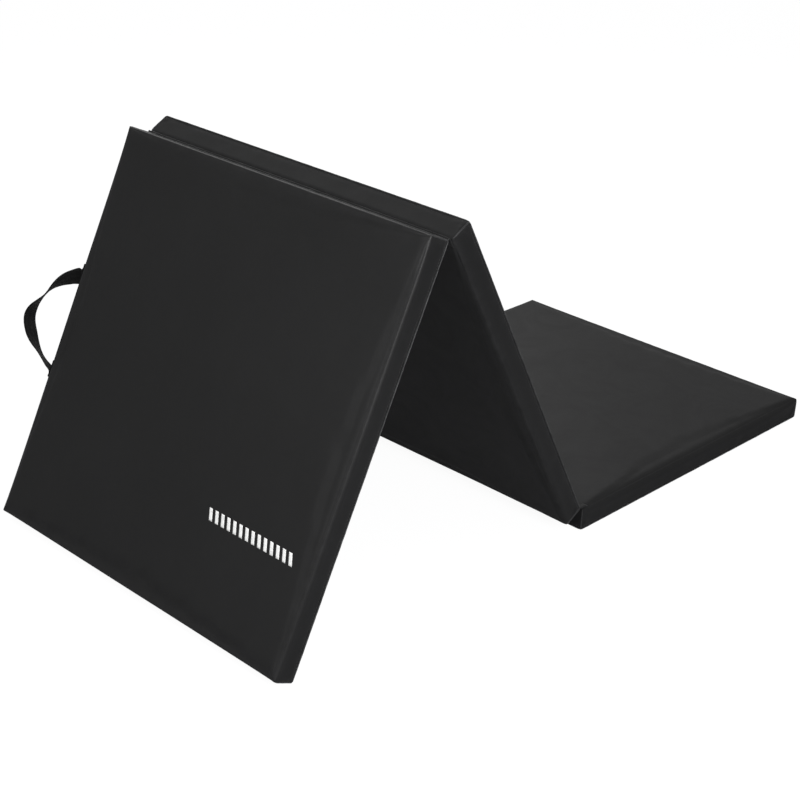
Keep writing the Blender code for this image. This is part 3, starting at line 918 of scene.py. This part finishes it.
def add_fold_hinge(name, joint, fixed, moving):
    """A strip of cloth over a fold: a leaf sewn to each panel and a loose crease between them."""
    pivot = Vector(JOINTS[joint]["pos_m"])
    leaves = [(panel, -towards(panel.axes[0], panel, pivot), towards(panel.axes[2], panel, pivot))
              for panel in (fixed, moving)]
    sections = [[(pivot + away * s - up * (STRIP_GAP + leaf_dip(s)), up) for s in STRIP_STATIONS]
                for _, away, up in leaves]
    crease = [leaves[0][2].slerp(leaves[1][2], step / 6) for step in range(1, 6)]
    section = sections[0] + [(pivot - n * STRIP_GAP, n) for n in crease] + sections[1][::-1]
    half_y = fixed.half.y - STRIP_EDGE
    last = len(section) - 1
    def height(row):
        return -half_y + 2 * half_y * row / STRIP_ROWS
    def point(layer, row, k):
        p, n = section[k]
        y = height(row)
        ripple = 0.00018 * noise.noise(Vector((y * 42.0, k * 0.45, pivot.z * 3)))
        return p + SIDE * y + n * (STRIP_THICKNESS * (0.5 - layer) + ripple)
    # Rubbed along the crease; the paler rise towards the strip's two ends is painted highlight where
    # its seams meet.
    def worn(row, k):
        return max(0.8 * exp(-abs(k - last / 2) / 2.5), exp(-(half_y - abs(height(row))) / 0.004))
    mesh = face_outwards(mesh_from(name, *slab(STRIP_ROWS, last, point)))
    set_wear_and_painted_highlight(mesh, [worn(row, k) for row in range(STRIP_ROWS + 1) for k in range(last + 1)] * 2)
    obj = new_piece(name + "_cloth", mesh, None, VINYL, (name,))
    start, end = (pivot + away * 0.003 for _, away, _ in leaves)
    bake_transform(obj)
    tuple(start)
    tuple(end)
    for panel, away, up in leaves:
        stitches = Stitches(name + panel.name)
        for s in STRIP_STITCHES:
            spot = pivot + away * s - up * (STRIP_GAP + leaf_dip(s) - STRIP_THICKNESS / 2 - 0.0001)
            row = [spot + SIDE * (half_y - STRIP_STITCH_EDGE) * e for e in (-1, 1)]
            stitches.run(None, row, False, lambda p, up=up: up)
        stitches.piece(f"{name}_stitches_{panel.name}", panel.body)


def leaf_dip(s):
    """How far a hinge leaf sags towards the panel's rounded edge and its own sewn end."""
    return 0.0003 * exp(-((s - 0.006) / 0.003) ** 2) + 0.0005 * max(0.0, (s - 0.011) / 0.0055)


def towards(axis, panel, pivot):
    """The panel's axis, turned to point from the panel's centre towards the fold."""
    return axis if (pivot - panel.matrix.translation).dot(axis) > 0 else -axis


# ---- handles

# Stations along a handle from its upper to its lower end: distance along the panel from the
# handle's middle, distance out from the swing axis, lift towards the panel's outer face, twist
HANDLE_STATIONS = (
    (-0.0885, 0.0009, 0.000, 0),
    (-0.0830, 0.0009, 0.000, 0),
    (-0.0780, 0.0018, 0.000, -8),
    (-0.0735, 0.0075, 0.000, -36),
    (-0.0660, 0.0200, 0.000, -50),
    (-0.0530, 0.0440, 0.000, -20),
    (-0.0220, 0.0735, 0.004, 40),
    (0.0120, 0.0770, 0.017, 14),
    (0.0370, 0.0560, 0.0225, 3),
    (0.0620, 0.0345, 0.0120, 26),
    (0.0755, 0.0130, 0.005, 14),
    (0.0800, 0.0040, 0.001, 3),
    (0.0835, 0.0012, 0.000, 0),
    (0.0885, 0.0009, 0.000, 0),
)


def spline(stations, pitch):
    """Centripetal curve through the stations, which may hold any number of values each."""
    def knot(t, a, b):
        return t + sqrt(sqrt(sum((x - y) ** 2 for x, y in zip(a[:3], b[:3]))))
    ends = [[2 * a - b for a, b in zip(stations[0], stations[1])]] + [list(s) for s in stations]
    ends.append([2 * a - b for a, b in zip(stations[-1], stations[-2])])
    out = []
    for p0, p1, p2, p3 in zip(ends, ends[1:], ends[2:], ends[3:]):
        t0 = 0.0
        t1 = knot(t0, p0, p1)
        t2 = knot(t1, p1, p2)
        t3 = knot(t2, p2, p3)
        length = sqrt(sum((x - y) ** 2 for x, y in zip(p1[:3], p2[:3])))
        steps = max(1, ceil(length / pitch))
        def blend(a, b, ta, tb, t):
            return [(x * (tb - t) + y * (t - ta)) / (tb - ta) for x, y in zip(a, b)]
        for step in range(steps):
            t = t1 + (t2 - t1) * step / steps
            a1, a2, a3 = blend(p0, p1, t0, t1, t), blend(p1, p2, t1, t2, t), blend(p2, p3, t2, t3, t)
            b1, b2 = blend(a1, a2, t0, t2, t), blend(a2, a3, t1, t3, t)
            out.append(blend(b1, b2, t1, t2, t))
    out.append(list(stations[-1]))
    return out


def webbing_ring():
    """Half widths and half thicknesses round a webbing strap, thicker along its two selvedges."""
    across = 14
    ring = []
    for side in (1, -1):
        for k in range(across + 1):
            t = -1 + 2 * k / across
            edge = 0.12 * exp(-((abs(t) - 0.9) / 0.07) ** 2)
            taper = 0.35 if abs(t) > 0.999 else 1.0
            ring.append((t * side * 0.5, side * (0.5 + edge) * taper))
    return ring


def add_strap(panel, joint, lift):
    """A webbing handle: flat where it is sewn down, then a loop that leans and twists."""
    pivot = Vector(JOINTS[joint]["pos_m"])
    along, up = -panel.axes[0], panel.axes[2]
    path = spline([(s, y, h * lift, w) for s, y, h, w in HANDLE_STATIONS], 0.0016)
    ring = webbing_ring()
    rings, uvs = [], []
    run = 0.0
    for i, (s, y, h, w) in enumerate(path):
        before, after = path[max(i - 1, 0)], path[min(i + 1, len(path) - 1)]
        t = Vector([b - a for a, b in zip(before[:3], after[:3])]).normalized()
        if i:
            run += (Vector(path[i][:3]) - Vector(path[i - 1][:3])).length
        n1 = t.cross(Vector((0, 0, 1))).normalized()
        n2 = n1.cross(t)
        wide = n2 * cos(radians(w)) + n1 * sin(radians(w))
        thick = t.cross(wide) * STRAP_THICKNESS * (1 + 0.05 * sin(2 * pi * run / STRAP_RIB))
        local = [Vector((s, y, h)) + wide * a * STRAP_WIDTH + thick * b for a, b in ring]
        rings.append([pivot + along * p.x + SIDE * p.y + up * p.z for p in local])
        uvs += [(run, (a + 0.5) * STRAP_WIDTH) for a, _ in ring]
    verts, faces = [], []
    sweep(verts, faces, rings)
    mesh = mesh_from("strap", verts, faces)
    ribbon_uv(mesh, uvs)
    obj = new_piece(f"{panel.name}_handle_webbing", face_outwards(mesh), None, WEBBING,
                    (f"{panel.name}_handle_strap",))
    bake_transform(obj)


def add_tab(panel, node):
    """The doubled end of a strap, sewn down with a boxed cross."""
    low, high = panel_box(panel, node)
    centre, half = (low + high) / 2, (high - low) / 2
    side = 1 if centre.y > 0 else -1
    uvs = []
    def point(layer, i, j):
        a, b = 2 * i / TAB_STEPS - 1, 2 * j / TAB_STEPS - 1
        thick = half.y * (0.97 if max(abs(a), abs(b)) < 0.99 else 0.55)
        fray = 1 - 0.006 * abs(noise.noise(Vector((a * 9, b * 9, centre.x * 40))))
        uvs.append((a * half.x, (b + 1) * half.z))
        return Vector((centre.x + a * half.x * fray, centre.y + side * (1 - 2 * layer) * thick,
                       centre.z + b * half.z * fray))
    mesh = mesh_from("tab", *slab(TAB_STEPS, TAB_STEPS, point), panel.matrix)
    ribbon_uv(mesh, uvs)
    new_piece(node + "_webbing", face_outwards(mesh), panel.body, WEBBING, (node,))
    add_box_stitch(panel, node, centre, half, side)


def panel_box(panel, node):
    """A CAD node's lowest and highest corners in the panel's own frame."""
    back = panel.matrix.inverted()
    points = [back @ v.co for v in frame["nodes"][node].data.vertices]
    return (Vector([min(p[k] for p in points) for k in range(3)]),
            Vector([max(p[k] for p in points) for k in range(3)]))


def add_box_stitch(panel, node, centre, half, side):
    """A sewn square with a cross in it, over the strap's flat end."""
    stitches = Stitches(node)
    turn = panel.matrix.to_3x3()
    up = turn @ Vector((0, side, 0))
    outer = 1 if centre.x > 0 else -1
    top = centre.y + side * (half.y + 0.0003 + STRAP_THICKNESS + 0.00015)
    near, far, tall = BOX_STITCH
    corners = [(near, -tall), (far, -tall), (far, tall), (near, tall)]
    spots = [Vector((centre.x + outer * a, top, centre.z + b)) for a, b in corners]
    lines = list(zip(spots, spots[1:] + spots[:1])) + [(spots[0], spots[2]), (spots[1], spots[3])]
    for a, b in lines:
        row = [panel.matrix @ a, panel.matrix @ b]
        stitches.run(None, row, False, lambda p: up, pitch=BOX_STITCH_PITCH)
    stitches.piece(node + "_stitches", panel.body)


# ---- the printed mark

def add_mark(pad):
    """A row of plain slanted bars, printed near the lead panel's lower corner."""
    panel = pad.panel
    pitch, steps = MARK_LENGTH / BARS, 6
    lift = panel.axes[2]
    verts, faces = [], []
    for bar in range(BARS):
        def point(layer, i, j):
            up, across = i / steps - 0.5, j / steps
            x = MARK_X + BAR_HEIGHT * up
            y = MARK_Y - MARK_LENGTH / 2 + pitch * (bar + 0.5 * across) + BAR_SLANT * up
            top = panel.matrix @ Vector((x, y, panel.half.z))
            spot = pad.surface.ray_cast(top + lift * 0.01, -lift)[0]
            return spot + lift * (PRINT_TOP, PRINT_BOTTOM)[layer]
        v, f = slab(steps, steps, point)
        faces += [tuple(k + len(verts) for k in face) for face in f]
        verts += v
    mesh = face_outwards(mesh_from("mark", verts, faces))
    new_piece("lead_printed_bars", mesh, panel.body, PRINT)


# ---- carried-over CAD nodes

def dress_cad_nodes():
    """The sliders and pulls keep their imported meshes, with softened edges and enamel."""
    for panel in PANELS:
        for suffix in ("zip_slider", "zip_pull"):
            obj = frame["nodes"][f"{panel.name}_{suffix}"]
            obj.data.materials.clear()
            obj.data.materials.append(METAL)
            bevel = obj.modifiers.new("softened_edges", "BEVEL")
            bevel.width = 0.00022
            bevel.segments = 2
            bevel.limit_method = "ANGLE"


# ---- studio

def add_area_light(name, location, target, size, energy):
    light = bpy.data.lights.new(name, "AREA")
    light.shape = "RECTANGLE"
    light.size, light.size_y = size
    light.energy = energy
    obj = add_object(name, light)
    obj.location = location
    obj.rotation_mode = "QUATERNION"
    obj.rotation_quaternion = (Vector(target) - Vector(location)).to_track_quat("-Z", "Y")


def seen_as(n, seen, lighting):
    """One strength for what the camera sees, another for the light it gives."""
    return n.mix(n.add("LightPath").outputs["Is Camera Ray"], lighting, seen)


def add_studio():
    """A white sweep that the camera sees as nearly shadowless, under large soft lights."""
    corners = [(x * FLOOR_REACH, y * FLOOR_REACH, 0) for x, y in ((-1, -1), (1, -1), (1, 1), (-1, 1))]
    floor_mesh = mesh_from("floor", corners, [(0, 1, 2, 3)])
    floor = add_object("floor", floor_mesh)
    n = Nodes("pale_floor")
    mottle = n.ramp(n.noise(3.0, 3.0), ((0.3, 0.97), (0.7, 1.0)))
    floor_mesh.materials.append(n.finish(
        Base_Color=seen_as(n, n.mix(mottle, grey(0.10), grey(0.12)), grey(0.35)),
        Roughness=0.8, Specular_IOR_Level=0.0, Emission_Color=(1, 1, 1, 1),
        Emission_Strength=seen_as(n, grey(0.94), grey(0.0))))
    world = bpy.context.scene.world = bpy.data.worlds.new("studio")
    n = Nodes("studio", world)
    n.finish(Color=(1, 1, 1, 1), Strength=seen_as(n, (1, 1, 1, 1), (WORLD, WORLD, WORLD, 1)))
    add_area_light("overhead", (0.4, 0.6, 2.8), (0, 0, 0), (3.5, 3.5), OVERHEAD)
    add_area_light("left", (-3.2, 0.4, 1.6), (-0.6, 0, 0.3), (2.5, 2.0), LEFT)
    add_area_light("near", (-1.2, -1.6, 1.0), (-0.6, -0.2, 0.3), (0.7, 0.7), NEAR)
    add_area_light("back", (0.8, 1.6, 1.4), (-0.3, 0, 0.2), (1.5, 1.0), BACK)
    bpy.context.scene.view_settings.view_transform = "Standard"


def add_camera():
    """The camera that a fit to the panels' proportions gives."""
    azimuth, elevation, roll = radians(-47.04), radians(25.30), radians(2.63)
    right = Vector((cos(azimuth), sin(azimuth), 0))
    back = Vector((sin(azimuth) * cos(elevation), -cos(azimuth) * cos(elevation), sin(elevation)))
    up = back.cross(right)
    cam_right = right * cos(roll) + up * sin(roll)
    cam_up = up * cos(roll) - right * sin(roll)
    data = bpy.data.cameras.new("camera")
    data.sensor_width = 36
    data.lens = 75.80
    data.shift_x, data.shift_y = -0.0004, 0.0018
    camera = add_object("camera", data)
    turn = Matrix((cam_right, cam_up, back)).transposed()
    camera.matrix_world = Matrix.Translation((-2.1479, -1.6330, 1.2710)) @ turn.to_4x4()
    bpy.context.scene.camera = camera


pads = {panel.name: build_pad(panel) for panel in PANELS}
for panel in PANELS:
    pad = pads[panel.name]
    add_foam(panel)
    add_rim_bead(pad)
    add_corner_beads(pad)
    add_rim_stitches(pad)
    for suffix, side in (("outer", 1), ("inner", -1)):
        add_tape(panel, side, suffix)
    add_teeth(panel)
    add_zip_stitches(pad)

add_fold_hinge("base_hinge_strip", "base_fold", BASE, MIDDLE)
add_fold_hinge("ridge_hinge_strip", "ridge_fold", MIDDLE, LEAD)
add_strap(LEAD, "lead_handle_swing", 1.0)
add_strap(BASE, "base_handle_swing", 0.3)
for panel, ends in ((LEAD, ("lower", "upper")), (BASE, ("left", "right"))):
    for end in ends:
        add_tab(panel, f"{panel.name}_handle_tab_{end}")
add_mark(pads["lead"])
dress_cad_nodes()
add_studio()
add_camera()
